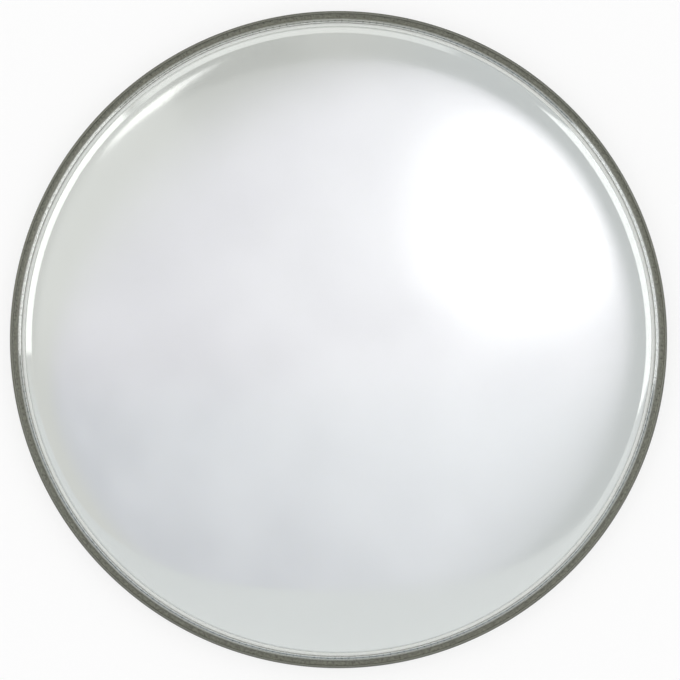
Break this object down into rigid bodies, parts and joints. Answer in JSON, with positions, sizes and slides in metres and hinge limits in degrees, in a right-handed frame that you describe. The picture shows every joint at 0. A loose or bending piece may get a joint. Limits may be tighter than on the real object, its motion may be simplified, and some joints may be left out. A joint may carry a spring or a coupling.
{
  "type": "drum head",
  "caption": "Clear two-ply drum head: flat see-through film bent down at a collar and cast with resin into a round metal flesh hoop.",
  "frame": {"origin": "centre of the hoop's underside, the plane it lies on", "axes": "+Z along the head's axis, out of the playing face; +Y towards the top of the picture, +X to its right"},
  "size_m": [0.373, 0.373, 0.0165],
  "materials": {
    "hoop_metal": "dull mill finish with fine lines round the ring",
    "resin": "cast, slightly dished between film and wall",
    "film": "clear polyester film, smooth and glossy"
  },
  "bodies": {
    "root": {"flesh_hoop": "hoop_metal", "casting_resin": "resin", "batter_ply": "film", "backing_ply": "film"}
  },
  "joints": []
}
